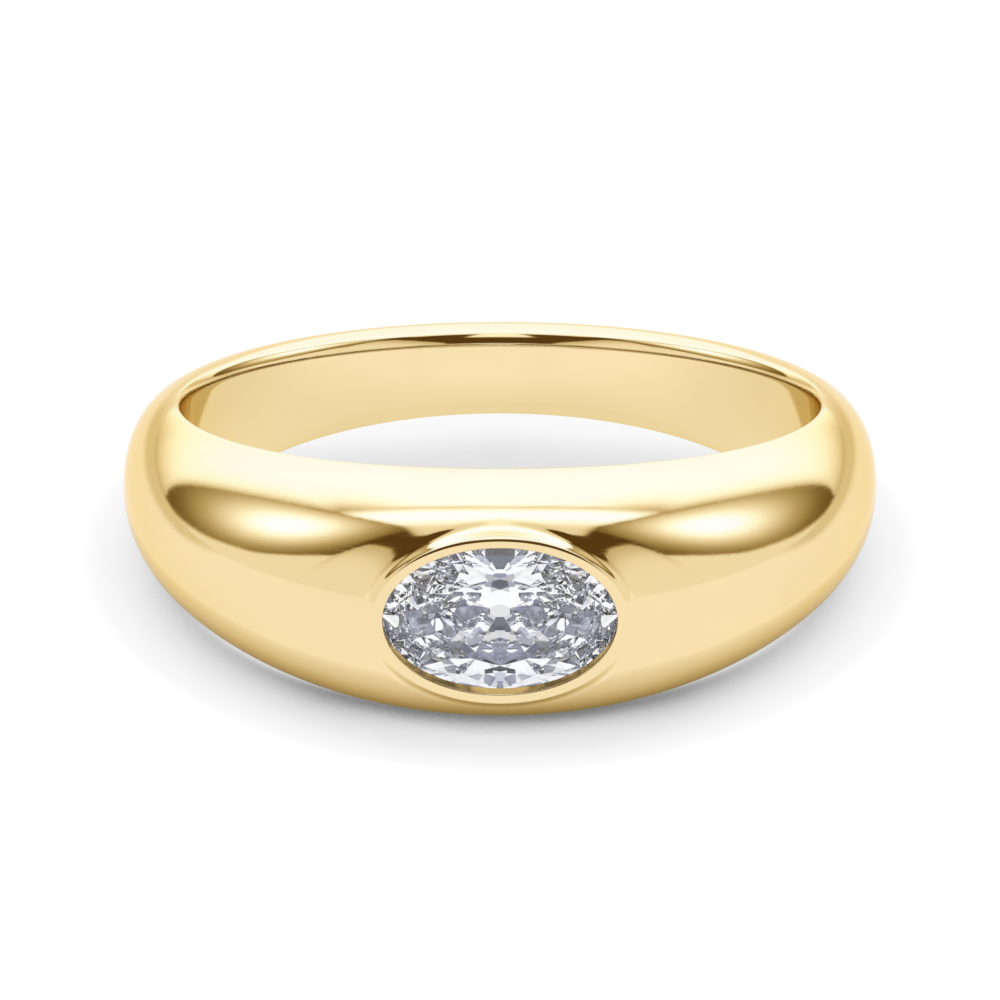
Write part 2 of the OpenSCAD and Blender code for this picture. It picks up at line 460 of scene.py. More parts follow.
    def patch(self, across, along, place, finish=POLISHED):
        """Lays a net of across by along faces, puts each point where place says, and marks its finish"""
        nodes, links = self.tree.nodes, self.tree.links
        grid = nodes.new("GeometryNodeMeshGrid")
        for slot in ("Size X", "Size Y"):
            grid.inputs[slot].default_value = 1
        for slot, faces in (("Vertices X", across), ("Vertices Y", along)):
            points = faces + 1
            if isinstance(points, Field):
                links.new(points.socket, grid.inputs[slot])
            else:
                grid.inputs[slot].default_value = points
        position = nodes.new("GeometryNodeInputPosition")
        # The net is a unit square round the origin, and u and v run from 0 to 1
        u, v = (part + 0.5 for part in split(self.tree, position.outputs[0])[:2])
        point = nodes.new("ShaderNodeCombineXYZ")
        for slot, part in zip(point.inputs, place(u, v)):
            links.new(part.socket, slot)
        move = nodes.new("GeometryNodeSetPosition")
        links.new(grid.outputs["Mesh"], move.inputs["Geometry"])
        links.new(point.outputs[0], move.inputs["Position"])
        mark = nodes.new("GeometryNodeStoreNamedAttribute")
        mark.data_type = "INT"
        mark.domain = "FACE"
        mark.inputs["Name"].default_value = FINISH_MARK
        mark.inputs["Value"].default_value = finish
        links.new(move.outputs[0], mark.inputs["Geometry"])
        links.new(mark.outputs[0], self.join.inputs[0])

    def lay_patches(self):
        steps = self.value("Setting steps")
        rest = self.value("Rest steps")
        half_turn = self.value("Setting half turn")
        round_steps = steps * SIDES
        crown_steps = steps * (math.pi / (PATCH_LOW - PATCH_TOP))
        end_steps = steps * (PATCH_TOP / (PATCH_LOW - PATCH_TOP))

        def front(u):
            return half_turn * (u * 2 - 1)

        def back(u):
            return half_turn + (math.tau - half_turn * 2) * u

        def swing_between(first, last):
            return lambda v: v * (last - first) + first

        whole = swing_between(math.pi, 0)
        upper = swing_between(PATCH_TOP, 0)
        lower = swing_between(math.pi, PATCH_LOW)
        self.patch(rest, crown_steps, lambda u, v: self.crown(back(u), whole(v)))
        self.patch(steps, end_steps, lambda u, v: self.crown(front(u), upper(v)))
        self.patch(steps, end_steps, lambda u, v: self.crown(front(u), lower(v)))
        # The bore's wall is one quarter above, a half in the middle and one quarter below
        for count, turn in ((rest, back), (steps, front)):
            self.patch(count, EDGE_STEPS, lambda u, v: self.edge(turn(u), (1 - v) * RIGHT_ANGLE, 1))
            self.patch(count, EDGE_STEPS, lambda u, v: self.edge(turn(u), v * RIGHT_ANGLE, -1))
            self.patch(count, BORE_STEPS, lambda u, v: self.bore(turn(u), 1 - v / 2))
            self.patch(count, BORE_STEPS, lambda u, v: self.bore(turn(u), v / -2 - 0.5))
        self.patch(rest, steps, lambda u, v: self.bore(back(u), 0.5 - v))
        for along, place in (
            (DOME_STEPS, self.dome_point),
            (HOLLOW_STEPS, self.hollow),
            (RIM_EDGE_STEPS, self.rim_edge),
            (1, self.rim_flat),
            (RIM_INNER_STEPS, self.rim_inner),
            (BORE_STEPS, self.bore_setting),
        ):
            self.patch(round_steps, along, place)
        # The opening's wall takes the darker gold: painted shade of the recess over the stone
        self.patch(round_steps, 2, self.opening, SHADED_INNER_WALL)
        for along, place in ((1, self.under_lip), (1, self.groove), (2, self.cone), (2, self.back_hole)):
            self.patch(round_steps, along, place, SEAT)

    def finish(self, finishes):
        """Merges the patches' seams, places the ring and gives each patch its finish"""
        nodes, links = self.tree.nodes, self.tree.links
        merge = nodes.new("GeometryNodeMergeByDistance")
        merge.inputs["Distance"].default_value = SEAM
        place = nodes.new("GeometryNodeTransform")
        turn = nodes.new("ShaderNodeCombineXYZ")
        links.new((-self.value("Lean")).socket, turn.inputs["X"])
        links.new(turn.outputs[0], place.inputs["Rotation"])
        links.new(self.source.outputs["Bore centre"], place.inputs["Translation"])
        smooth = nodes.new("GeometryNodeSetShadeSmooth")
        realize = nodes.new("GeometryNodeRealizeInstances")
        chain = [self.join, merge, place, smooth, realize]
        mark = nodes.new("GeometryNodeInputNamedAttribute")
        mark.data_type = "INT"
        mark.inputs["Name"].default_value = FINISH_MARK
        for number, material in enumerate(finishes):
            finish = nodes.new("GeometryNodeSetMaterial")
            finish.inputs["Material"].default_value = material
            chosen = Field(self.tree, mark.outputs["Attribute"]).is_number(number)
            links.new(chosen.socket, finish.inputs["Selection"])
            chain.append(finish)
        chain.append(self.sink)
        for before, after in zip(chain, chain[1:]):
            links.new(before.outputs[0], after.inputs[0])


# The seat's cone follows the stone's lower part for this share of its height
PAVILION_H = 1.62 * MM
CONE_SHARE = 0.58


class RingSizes(bpy.types.PropertyGroup):
    """Sizes of the gold ring; each row of five runs from the stone round to the back"""

    inside_d: FloatProperty(
        name="Inside diameter", description="Width of the finger hole", default=16.5 * MM, unit="LENGTH")
    edge_reach: FloatProperty(
        name="Edge reach", description="Soft edge of the finger hole, outwards", default=0.17 * MM,
        unit="LENGTH")
    edge_h: FloatProperty(
        name="Edge height", description="Soft edge of the finger hole, along the finger", default=0.34 * MM,
        unit="LENGTH")
    edge_flat: FloatProperty(
        name="Edge flatness", description="1 for a round edge, more for a flatter one", default=1.3)
    width: FloatVectorProperty(
        name="Widths", description="Width along the finger at the five sections", size=5,
        default=[w * MM for w in (6.45, 5.70, 4.27, 2.86, 2.32)], unit="LENGTH", precision=5)
    wall: FloatVectorProperty(
        name="Walls", description="Height of the dome over the bore at the five sections", size=5,
        default=[w * MM for w in (3.14, 2.36, 1.57, 1.84, 1.77)], unit="LENGTH", precision=5)
    flatness: FloatVectorProperty(
        name="Flatness", description="Flatness of the dome's top at the five sections", size=5,
        default=(2.30, 2.05, 2.15, 2.55, 2.70))
    fullness: FloatVectorProperty(
        name="Fullness", description="Fullness of the dome's shoulders at the five sections", size=5,
        default=(1.95, 1.30, 1.55, 2.70, 4.55))
    stone_l: FloatProperty(
        name="Stone length", description="Length of the oval stone", default=6.0 * MM, unit="LENGTH")
    stone_w: FloatProperty(
        name="Stone width", description="Width of the oval stone", default=4.0 * MM, unit="LENGTH")
    lip: FloatProperty(
        name="Lip", description="Overhang of the rim over the stone", default=0.05 * MM, unit="LENGTH")
    rim_h: FloatProperty(
        name="Rim height", description="Height of the flat rim over the bore", default=2.57 * MM,
        unit="LENGTH")
    rim_w: FloatProperty(
        name="Rim width", description="Width of the flat rim", default=0.13 * MM, unit="LENGTH")
    rim_edge_r: FloatProperty(
        name="Rim outer radius", description="Rim's outer edge", default=0.14 * MM, unit="LENGTH")
    rim_inner_r: FloatProperty(
        name="Rim inner radius", description="Rim's inner edge", default=0.03 * MM, unit="LENGTH")
    rim_hollow_r: FloatProperty(
        name="Hollow radius", description="Hollow between rim and dome", default=0.34 * MM, unit="LENGTH")
    groove: FloatProperty(
        name="Groove depth", description="Sink of the hollow below the dome", default=0.03 * MM,
        unit="LENGTH")
    lip_depth: FloatProperty(
        name="Lip depth", description="Depth of the lip's underside", default=0.44 * MM, unit="LENGTH")
    seat_depth: FloatProperty(
        name="Seat depth", description="Depth of the seat's shelf", default=0.65 * MM, unit="LENGTH")
    seat_gap: FloatProperty(
        name="Seat gap", description="Room between stone and seat", default=0.03 * MM, unit="LENGTH")
    cone_h: FloatProperty(
        name="Cone height", description="Height of the seat's cone", default=PAVILION_H * CONE_SHARE,
        unit="LENGTH")
    back_hole: FloatProperty(
        name="Back hole", description="Size of the hole behind the stone as a share", default=0.45,
        subtype="FACTOR")
    patch_turn: FloatProperty(
        name="Setting half turn", description="Reach of the setting's net round the band",
        default=math.radians(23.5), subtype="ANGLE")
    patch_steps: IntProperty(
        name="Setting steps", description="Faces along each side of the setting's net", default=48)
    rest_steps: IntProperty(
        name="Rest steps", description="Faces round the rest of the band", default=240)


class Finishes(bpy.types.PropertyGroup):
    """Colours of the gold, the rim's inner wall (darker gold as painted shade of the recess over the stone),
    the whitened seat under the stone, and the stone
    """

    gold: FloatVectorProperty(
        name="Gold", description="Colour of the polished gold", size=3, subtype="COLOR",
        default=(0.905, 0.716, 0.392), min=0, max=1)
    # The inner wall's darker, browner gold is painted shade of the recess over the stone
    wall: FloatVectorProperty(
        name="Inner wall", description="Colour of the rim's inner wall over the stone", size=3,
        subtype="COLOR", default=(0.62, 0.42, 0.16), min=0, max=1)
    seat: FloatVectorProperty(
        name="Seat", description="Colour of the whitened seat under the stone", size=3, subtype="COLOR",
        default=(0.58, 0.60, 0.66), min=0, max=1)
    stone: FloatVectorProperty(
        name="Stone", description="Colour of the clear stone", size=3, subtype="COLOR",
        default=(0.97, 0.98, 1.0), min=0, max=1)


class StageSetup(bpy.types.PropertyGroup):
    """Camera and light"""

    elevation: FloatProperty(
        name="Camera elevation", description="Angle of the camera over the floor",
        default=math.radians(26.46), subtype="ANGLE")
    distance: FloatProperty(
        name="Camera distance", description="From the camera to the middle of the finger hole",
        default=250 * MM, unit="LENGTH")
    lens: FloatProperty(
        name="Lens", description="Focal length in millimetres", default=344.6)
    drop: FloatProperty(
        name="Aim below", description="How far under the bore's middle the camera aims", default=0.593 * MM,
        unit="LENGTH")
    light: FloatProperty(
        name="Gloss light", description="Strength of the light that the gold mirrors", default=1.0)
    backdrop: FloatProperty(
        name="Backdrop", description="Brightness of the backdrop that the camera sees", default=1.12)


# How bright the darker clouds of a finish are beside its own colour
GOLD_SHADE, SEAT_SHADE, STONE_SHADE = 0.97, 0.93, 0.985
# The gold's colour where it is seen at a low angle
EDGE_TINT = (0.955, 0.85, 0.60)
# Painted reflection: the metal takes this darker, greyer colour in place of its own where gold mirrors it
PAINTED_REFLECTION_IN_GOLD = (0.68, 0.61, 0.47)
# Painted reflection: where the ring's gold and seat are seen through the stone they take this grey in place
# of their own colours, chosen by the light's path and not a whitening they have under any lamp
PAINTED_GREY_THROUGH_STONE = (0.68, 0.70, 0.79)
# Sizes in millimetres of what marks a surface: round the band, outwards and along the finger
CLOUDS = (2.6, 2.6, 2.6)
HAIRLINES = (3.0, 0.05, 0.05)
SMUDGES = (0.9, 0.9, 0.9)
STONE_CLOUDS = (1.5, 1.5, 1.5)
# A hairline is where its noise passes a level, and a smudge is a few times as deep as a hairline
HAIRLINE = Named(detail=1.0, level=0.6, soft=0.16, depth_mm=0.00008)
SMUDGE_DEPTH = 3
# The stone bends light as a diamond does, and its own gloss is toned down
STONE_IOR = 2.42
STONE_GLOSS = 0.5


def new_material(name):
    material = bpy.data.materials.new(name)
    material.use_nodes = True
    return material, material.node_tree, material.node_tree.nodes["Principled BSDF"]


def ring_coordinates(tree):
    """The way round the band, the radius and the height along the finger, in millimetres"""
    coordinates = tree.nodes.new("ShaderNodeTexCoord")
    centred = tree.nodes.new("ShaderNodeMapping")
    centred.vector_type = "TEXTURE"
    centred.inputs["Location"].default_value = BORE_CENTRE
    centred.inputs["Rotation"].default_value = (-LEAN, 0, 0)
    centred.inputs["Scale"].default_value = (MM, MM, MM)
    tree.links.new(coordinates.outputs["Object"], centred.inputs["Vector"])
    x, y, z = split(tree, centred.outputs[0])
    radius = (x * x + y * y).root()
    return x.maths("ARCTAN2", x, -y) * BORE_R_MM, radius, z


def noise(tree, place, pitches, detail=2.0):
    """Noise at a place in millimetres; the pitches are the sizes of its grains along the three ways"""
    vector = tree.nodes.new("ShaderNodeCombineXYZ")
    for slot, part, pitch in zip(vector.inputs, place, pitches):
        tree.links.new((part / pitch).socket, slot)
    grain = tree.nodes.new("ShaderNodeTexNoise")
    grain.inputs["Scale"].default_value = 1
    grain.inputs["Detail"].default_value = detail
    tree.links.new(vector.outputs[0], grain.inputs["Vector"])
    return Field(tree, grain.outputs["Fac"])


def between(tree, share, first, second):
    """A colour between two colours"""
    mix = tree.nodes.new("ShaderNodeMix")
    mix.data_type = "RGBA"
    tree.links.new(share.socket, mix.inputs["Factor"])
    for slot, colour in (("A", first), ("B", second)):
        socket = next(socket for socket in mix.inputs if socket.name == slot and socket.type == "RGBA")
        if isinstance(colour, Field):
            tree.links.new(colour.socket, socket)
        else:
            socket.default_value = (*colour, 1)
    return Field(tree, next(socket for socket in mix.outputs if socket.type == "RGBA"))


def ray(tree, question):
    """What Blender's Light Path node answers about the ray of light"""
    path = tree.nodes.new("ShaderNodeLightPath")
    return Field(tree, path.outputs[question])


def seen_through_stone(tree):
    """1 for light that passes through the stone on its way to the viewer, 0 for the rest"""
    return ray(tree, "Transmission Depth").clamped()


def shaded(colour, shade):
    return [part * shade for part in colour]


def cloudy(tree, clouds, colour, shade):
    """A colour that darkens a little in the clouds"""
    return between(tree, (clouds - 0.5).step(0.5), shaded(colour, shade), colour)


def relief(tree, shader, height, depth_mm):
    """A fine relief on a surface"""
    bump = tree.nodes.new("ShaderNodeBump")
    bump.inputs["Distance"].default_value = depth_mm * MM
    tree.links.new(height.socket, bump.inputs["Height"])
    tree.links.new(bump.outputs[0], shader.inputs["Normal"])


def metal(name, colour, shade, smooth, spread, hairlines):
    """A polished metal: faint clouds in its colour, polishing hairlines round the band, soft smudges, and
    painted reflections where gold mirrors it and where it is seen through the stone

    Its roughness is smooth at the least, and the clouds and the hairlines add spread and hairlines to it.
    """
    material, tree, shader = new_material(name)
    shader.inputs["Metallic"].default_value = 1
    shader.inputs["Specular Tint"].default_value = (*EDGE_TINT, 1)
    place = ring_coordinates(tree)
    clouds = noise(tree, place, CLOUDS)
    lines = (noise(tree, place, HAIRLINES, HAIRLINE.detail) - HAIRLINE.level).step(HAIRLINE.soft)
    tint = cloudy(tree, clouds, colour, shade)
    # Painted reflection: the metal turns darker and greyer where gold mirrors it
    tint = between(tree, ray(tree, "Glossy Depth").clamped(), tint, PAINTED_REFLECTION_IN_GOLD)
    # Painted reflection: grey in place of the metal's colour where it is seen through the stone
    tint = between(tree, seen_through_stone(tree), tint, PAINTED_GREY_THROUGH_STONE)
    tree.links.new(tint.socket, shader.inputs["Base Color"])
    roughness = clouds * spread + lines * hairlines + smooth
    tree.links.new(roughness.socket, shader.inputs["Roughness"])
    relief(tree, shader, noise(tree, place, SMUDGES) * SMUDGE_DEPTH + lines, HAIRLINE.depth_mm)
    return material


def gold_material(colour):
    return metal("polished_gold", colour, GOLD_SHADE, smooth=0.04, spread=0.06, hairlines=0.03)


# Darker gold for the rim's inner wall: painted shade of the recess over the stone
def painted_shade_wall_material(colour):
    return metal("shaded_gold", colour, GOLD_SHADE, smooth=0.12, spread=0.08, hairlines=0.04)


def seat_material(colour):
    return metal("bright_seat", colour, SEAT_SHADE, smooth=0.2, spread=0.08, hairlines=0.05)


def stone_material(colour):
    material, tree, shader = new_material("clear_stone")
    shader.inputs["Roughness"].default_value = 0
    shader.inputs["IOR"].default_value = STONE_IOR
    shader.inputs["Transmission Weight"].default_value = 1
    shader.inputs["Specular Tint"].default_value = (STONE_GLOSS, STONE_GLOSS, STONE_GLOSS, 1)
    clouds = noise(tree, ring_coordinates(tree), STONE_CLOUDS)
    tree.links.new(cloudy(tree, clouds, colour, STONE_SHADE).socket, shader.inputs["Base Color"])
    return material


def greys(*stops):
    """Stops of a ramp, each given by its place and its grey"""
    return [(place, (grey, grey, grey)) for place, grey in stops]


# The light that the gold mirrors, by its direction. Turns run from the front to the back, and heights from
# the floor up, in degrees. A value named soft tells how gradual an edge is, and a dip darkens by its share
DEGREES = 180 / math.pi
BACK = 180
OVERHEAD = 90

# Lower edge of the side light's dark frame, by turn and height
FRAME_LOW = [(0, 0), (14, 2), (22, 20), (35, 33), (45, 41), (55, 46), (62, 45), (66, 30), (72, 25),
             (80, 19), (90, 12), (100, 8), (115, 2.5), (128, 0), (180, 0)]
FRAME = Named(level=0.04, turn=66, turn_soft=3, low_soft=3.5)
# The plain light of the front, dimmer along the frame, and a brighter strip high up in its middle
FRONT = Named(level=0.645, dip=0.2, reach=11.7, turn=66, turn_soft=4)
STRIP = Named(level=0.76, turn=16, turn_soft=5, height=45, height_soft=10)
# The side light is an oval glow, whose short way points back and up by these shares
WINDOW = Named(level=1.03, turn=98.9, height=35.3, back=0.64, up=0.77, across=18.4, along=29.5)

# Further up, places lie on a ceiling one unit over the ring: aside from its middle line, and back from over
# the ring. Directions that rise by less than this are taken to rise by it, so that they meet the ceiling too
LEAST_RISE = 0.03
# A bright band lies across the ceiling. Beyond a place aside its far edge bends back; least is there so that
# the power never meets a negative value
BAND = Named(level=0.97, near=-0.34, near_soft=0.06, far=0.26, far_soft=0.08)
BEND = Named(aside=0.79, least=0.0001, power=0.935, slope=1.05)
BAND_EDGE = Named(dip=0.4, reach=0.08)
BAND_FRONT = Named(dip=0.36, back=-0.094, soft=0.28)
# The band's two ends stand at a place aside and slope outwards behind the ring, with a dimmer line on them
BAND_END = Named(aside=0.585, slope=0.76, back=-0.15, soft=0.05, dip=0.25, reach=0.044)
# The ceiling behind the band is dimmer where it meets the band, though hardly in the middle, and low down
CEILING = Named(level=0.94, dip=0.6, reach=0.16, aside=0.5, aside_soft=0.5, middle=0.08)
HORIZON = Named(dip=0.5, height=-2, reach=8.5, turn=162, turn_soft=26)

# The light's level from dark to bright and its colour there, up to the brightest value
LIGHT_COLOURS = [(0.00, (0.053, 0.018, 0.000)), (0.10, (0.172, 0.109, 0.025)), (0.19, (0.263, 0.190, 0.076)),
                 (0.28, (0.415, 0.332, 0.165)), (0.38, (0.550, 0.470, 0.298)), (0.47, (0.697, 0.630, 0.480)),
                 (0.59, (0.896, 0.870, 0.778)), (0.67, (1.005, 1.010, 1.020)), (0.71, (1.080, 1.105, 1.160)),
                 (0.78, (1.120, 1.300, 1.470)), (0.86, (1.120, 1.385, 1.830)), (0.98, (1.120, 1.400, 2.440))]
BRIGHTEST = 2.5

# The light that shows through the stone: the studio's level, lifted, and the dark head of the viewer
CLEAR = Named(contrast=1.18, lift=0.34, head_level=0.06, head_size=math.radians(15), head_soft=0.01)
CLEAR_COLOURS = [(0, (0.55, 0.62, 0.95)), (0.6, (0.98, 0.985, 1.02))]
# Light goes to and fro in the stone this many times
STONE_BOUNCES = 24

# Half the floor's side and the furthest that the camera sees, in metres
FLOOR_HALF = 1.5
VIEW_END = 20
# How far the ring's painted shadow reaches over the floor
SHADOW_REACH = 2 * MM
# The floor's glow from shut off to open, with its painted shadow: as the camera sees it, and as the gold
# mirrors it, a painted reflection
FLOOR_BRIGHTEST = 1.25
FLOOR_SEEN = greys((0.10, 0.141), (0.15, 0.243), (0.22, 0.515), (0.30, 0.631), (0.40, 0.761), (0.50, 0.831),
                   (0.60, 0.880), (0.70, 0.922), (0.85, 0.956), (1.00, 1.060))
FLOOR_MIRRORED = [(0.00, (0.200, 0.160, 0.060)), (0.17, (0.300, 0.267, 0.145)), (0.25, (0.457, 0.374, 0.262)),
                  (0.35, (0.592, 0.526, 0.397)), (0.45, (0.705, 0.640, 0.528)), (0.55, (0.804, 0.765, 0.700)),
                  (0.65, (0.844, 0.810, 0.749)), (0.85, (0.950, 0.930, 0.920)), (0.95, (1.010, 1.020, 1.050)),
                  (1.00, (1.050, 1.060, 1.120))]
# In front of the ring the painted shadow is paler where the floor is about this open
FRONT_SHADOW = Named(lift=0.17, openness=0.28, reach=0.14, turn=16, turn_soft=30)
# The floor in the finger hole is painted with its own shade and its own mirrored colours, to its wall, and
# towards the back a little past it
HOLE = Named(soft=0.3, more=0.85, turn=115, turn_soft=40)
# They run from the front to the back between these places, in millimetres, with a bend towards the sides
HOLE_SEEN = greys((0.0, 0.77), (0.2, 0.80), (0.6, 0.94), (1.0, 0.97))
HOLE_SEEN_SPAN = Named(start=6.0, length=3.5, bend=0.15)
HOLE_MIRRORED = [(0.0, (1.07, 1.08, 1.15)), (1.0, (0.93, 0.93, 0.88))]
HOLE_MIRRORED_SPAN = Named(start=3, length=4)
# The floor far off at the ring's sides and rear, painted darker and warmer as the gold mirrors it: a painted
# reflection
FAR_FLOOR = (0.80, 0.75, 0.63)
FAR = Named(radius=38, radius_soft=26, turn=100, turn_soft=16, rear=162, rear_soft=26)


def turn_from_front(x, y):
    """Degrees from the front to the left or the right, up to the back"""
    return x.maths("ARCTAN2", x.size(), -y) * DEGREES


def shares(points):
    """Points of turn and height as shares of the whole way round and up"""
    return [(turn / BACK, height / OVERHEAD) for turn, height in points]


def add_ramp(tree, value, stops, brightest):
    """Colours by a value, for the stops given; the result is to be multiplied by the brightest"""
    ramp = tree.nodes.new("ShaderNodeValToRGB")
    elements = ramp.color_ramp.elements
    while len(elements) < len(stops):
        elements.new(1)
    for element, (place, colour) in zip(elements, stops):
        element.position = place
        element.color = (*[part / brightest for part in colour], 1)
    tree.links.new(value.socket, ramp.inputs[0])
    return Field(tree, ramp.outputs[0])


def front_light(turn, over_frame):
    beside = over_frame.bell(FRONT.reach) * (FRONT.turn - turn).step(FRONT.turn_soft)
    return FRONT.level - beside * FRONT.dip


def side_light(turn, height):
    past = turn - WINDOW.turn
    over = height - WINDOW.height
    across = past * WINDOW.back + over * WINDOW.up
    along = over * WINDOW.back - past * WINDOW.up
    window = across.bell(WINDOW.across) * along.bell(WINDOW.along) * WINDOW.level
    return window.towards(FRAME.level, (FRAME.turn - turn).step(FRAME.turn_soft))


def band_light(back, beyond):
    edge = beyond.bell(BAND_EDGE.reach) * BAND_EDGE.dip
    front = (BAND_FRONT.back - back).step(BAND_FRONT.soft) * BAND_FRONT.dip
    return BAND.level - edge - front


def ceiling_light(turn, height, aside, beyond):
    sides = (aside - CEILING.aside).step(CEILING.aside_soft) * (1 - CEILING.middle) + CEILING.middle
    level = CEILING.level - beyond.above(0).fading(CEILING.reach) * sides * CEILING.dip
    low = height.above(HORIZON.height).fading(HORIZON.reach) * (HORIZON.turn - turn).step(HORIZON.turn_soft)
    return level - low * HORIZON.dip


def light_level(tree):
    """Level of the studio's light by direction, from 0 (dark) to 1 (brightest)"""
    coordinates = tree.nodes.new("ShaderNodeTexCoord")
    x, y, z = split(tree, coordinates.outputs["Generated"])
    turn = turn_from_front(x, y)
    height = z.arcsine() * DEGREES
    over_frame = height - (turn / BACK).curve(shares(FRAME_LOW)) * OVERHEAD
    up = z.above(LEAST_RISE)
    aside = x.size() / up
    back = y / up
    beyond = back - (aside - BEND.aside).above(BEND.least) ** BEND.power * BEND.slope - BAND.far
    within = back.above(BAND_END.back) * BAND_END.slope - aside + BAND_END.aside
    behind = (back - BAND.near).step(BAND.near_soft)

    level = front_light(turn, over_frame)
    level = level.towards(side_light(turn, height), over_frame.step(FRAME.low_soft))
    level = level.towards(band_light(back, beyond), behind * within.step(BAND_END.soft))
    level = level - level * within.bell(BAND_END.reach) * behind * BAND_END.dip
    level = level.towards(ceiling_light(turn, height, aside, beyond), beyond.step(BAND.far_soft))
    strip = (STRIP.turn - turn).step(STRIP.turn_soft) * (height - STRIP.height).step(STRIP.height_soft)
    return level.towards(STRIP.level, strip)


def clear_level(tree, level, setup):
    """Level of the light that shows through the stone, with the viewer's dark head in it"""
    coordinates = tree.nodes.new("ShaderNodeTexCoord")
    facing = tree.nodes.new("ShaderNodeVectorMath")
    facing.operation = "DOT_PRODUCT"
    tree.links.new(coordinates.outputs["Generated"], facing.inputs[0])
    facing.inputs[1].default_value = (0, -math.cos(setup.elevation), math.sin(setup.elevation))
    head = (Field(tree, facing.outputs["Value"]) - math.cos(CLEAR.head_size)).step(CLEAR.head_soft)
    return (level * CLEAR.contrast + CLEAR.lift).towards(CLEAR.head_level, head)


def studio_light(setup):
    """A soft studio: a plain bright backdrop for the camera, and lights of their own for gold and stone"""
    world = bpy.data.worlds.new("studio")
    world.use_nodes = True
    tree = world.node_tree
    level = light_level(tree)
    gloss = tree.nodes["Background"]
    tree.links.new(add_ramp(tree, level, LIGHT_COLOURS, BRIGHTEST).socket, gloss.inputs["Color"])
    gloss.inputs["Strength"].default_value = BRIGHTEST * setup.light
    plain = tree.nodes.new("ShaderNodeBackground")
    plain.inputs["Color"].default_value = (1, 1, 1, 1)
    plain.inputs["Strength"].default_value = setup.backdrop
    clear = tree.nodes.new("ShaderNodeBackground")
    strength = clear_level(tree, level, setup)
    tree.links.new(strength.socket, clear.inputs["Strength"])
    tree.links.new(add_ramp(tree, strength, CLEAR_COLOURS, 1).socket, clear.inputs["Color"])
    chosen = plain
    for share, light in ((ray(tree, "Is Glossy Ray"), gloss), (seen_through_stone(tree), clear)):
        mix = tree.nodes.new("ShaderNodeMixShader")
        tree.links.new(share.socket, mix.inputs[0])
        tree.links.new(chosen.outputs[0], mix.inputs[1])
        tree.links.new(light.outputs[0], mix.inputs[2])
        chosen = mix
    tree.links.new(chosen.outputs[0], tree.nodes["World Output"].inputs["Surface"])
    return world


def floor_material():
    """A pale floor that glows by itself, with a soft shadow painted into its glow where Ambient Occlusion
    finds the ring shutting it off, and painted colours of its own for the gold to mirror
    """
    material, tree, shader = new_material("white_floor")
    tree.nodes.remove(shader)
    glow = tree.nodes.new("ShaderNodeEmission")
    glow.inputs["Strength"].default_value = FLOOR_BRIGHTEST
    shade = tree.nodes.new("ShaderNodeAmbientOcclusion")
    shade.inputs["Distance"].default_value = SHADOW_REACH
    openness = Field(tree, shade.outputs["AO"])
    coordinates = tree.nodes.new("ShaderNodeTexCoord")
    x, y, _ = split(tree, coordinates.outputs["Object"])
    x, y = x / MM, y / MM
    depth = y - BORE_CENTRE.y / MM
    radius = (x * x + depth * depth).root()
    turn = turn_from_front(x, depth)
    in_hole = ((turn - HOLE.turn).step(HOLE.turn_soft) * HOLE.more + BORE_R_MM - radius).step(HOLE.soft)

    # Painted shadow: the glow follows how open the floor is, with a paler shadow in front of the ring
    lift = (openness - FRONT_SHADOW.openness).bell(FRONT_SHADOW.reach) * FRONT_SHADOW.lift
    lift = lift * (FRONT_SHADOW.turn - turn).step(FRONT_SHADOW.turn_soft)
    seen = add_ramp(tree, openness + lift, FLOOR_SEEN, FLOOR_BRIGHTEST)
    # Painted shade in the finger hole, lighter towards the back
    way_back = (y + x.size() * HOLE_SEEN_SPAN.bend - HOLE_SEEN_SPAN.start) / HOLE_SEEN_SPAN.length
    seen = between(tree, in_hole, seen, add_ramp(tree, way_back, HOLE_SEEN, FLOOR_BRIGHTEST))

    # Painted reflection: the colours that the gold mirrors, with their own shadow, darker far off at the
    # sides and rear, and apart in the finger hole
    mirrored = add_ramp(tree, openness, FLOOR_MIRRORED, FLOOR_BRIGHTEST)
    far = (radius - FAR.radius).step(FAR.radius_soft) * (FAR.rear - turn).step(FAR.rear_soft)
    far = far * (turn - FAR.turn).step(FAR.turn_soft)
    mirrored = between(tree, far, mirrored, shaded(FAR_FLOOR, 1 / FLOOR_BRIGHTEST))
    way_back = (y - HOLE_MIRRORED_SPAN.start) / HOLE_MIRRORED_SPAN.length
    mirrored = between(tree, in_hole, mirrored, add_ramp(tree, way_back, HOLE_MIRRORED, FLOOR_BRIGHTEST))

    in_gold = ray(tree, "Is Glossy Ray") * (1 - seen_through_stone(tree))
    tree.links.new(between(tree, in_gold, seen, mirrored).socket, glow.inputs["Color"])
    tree.links.new(glow.outputs[0], tree.nodes["Material Output"].inputs["Surface"])
    return material


def drop_empty_slots(piece):
    """Takes out the empty first slot that the nets came with"""
    materials = piece.data.materials
    for i in reversed(range(len(materials))):
        if materials[i] is None:
            materials.pop(index=i)


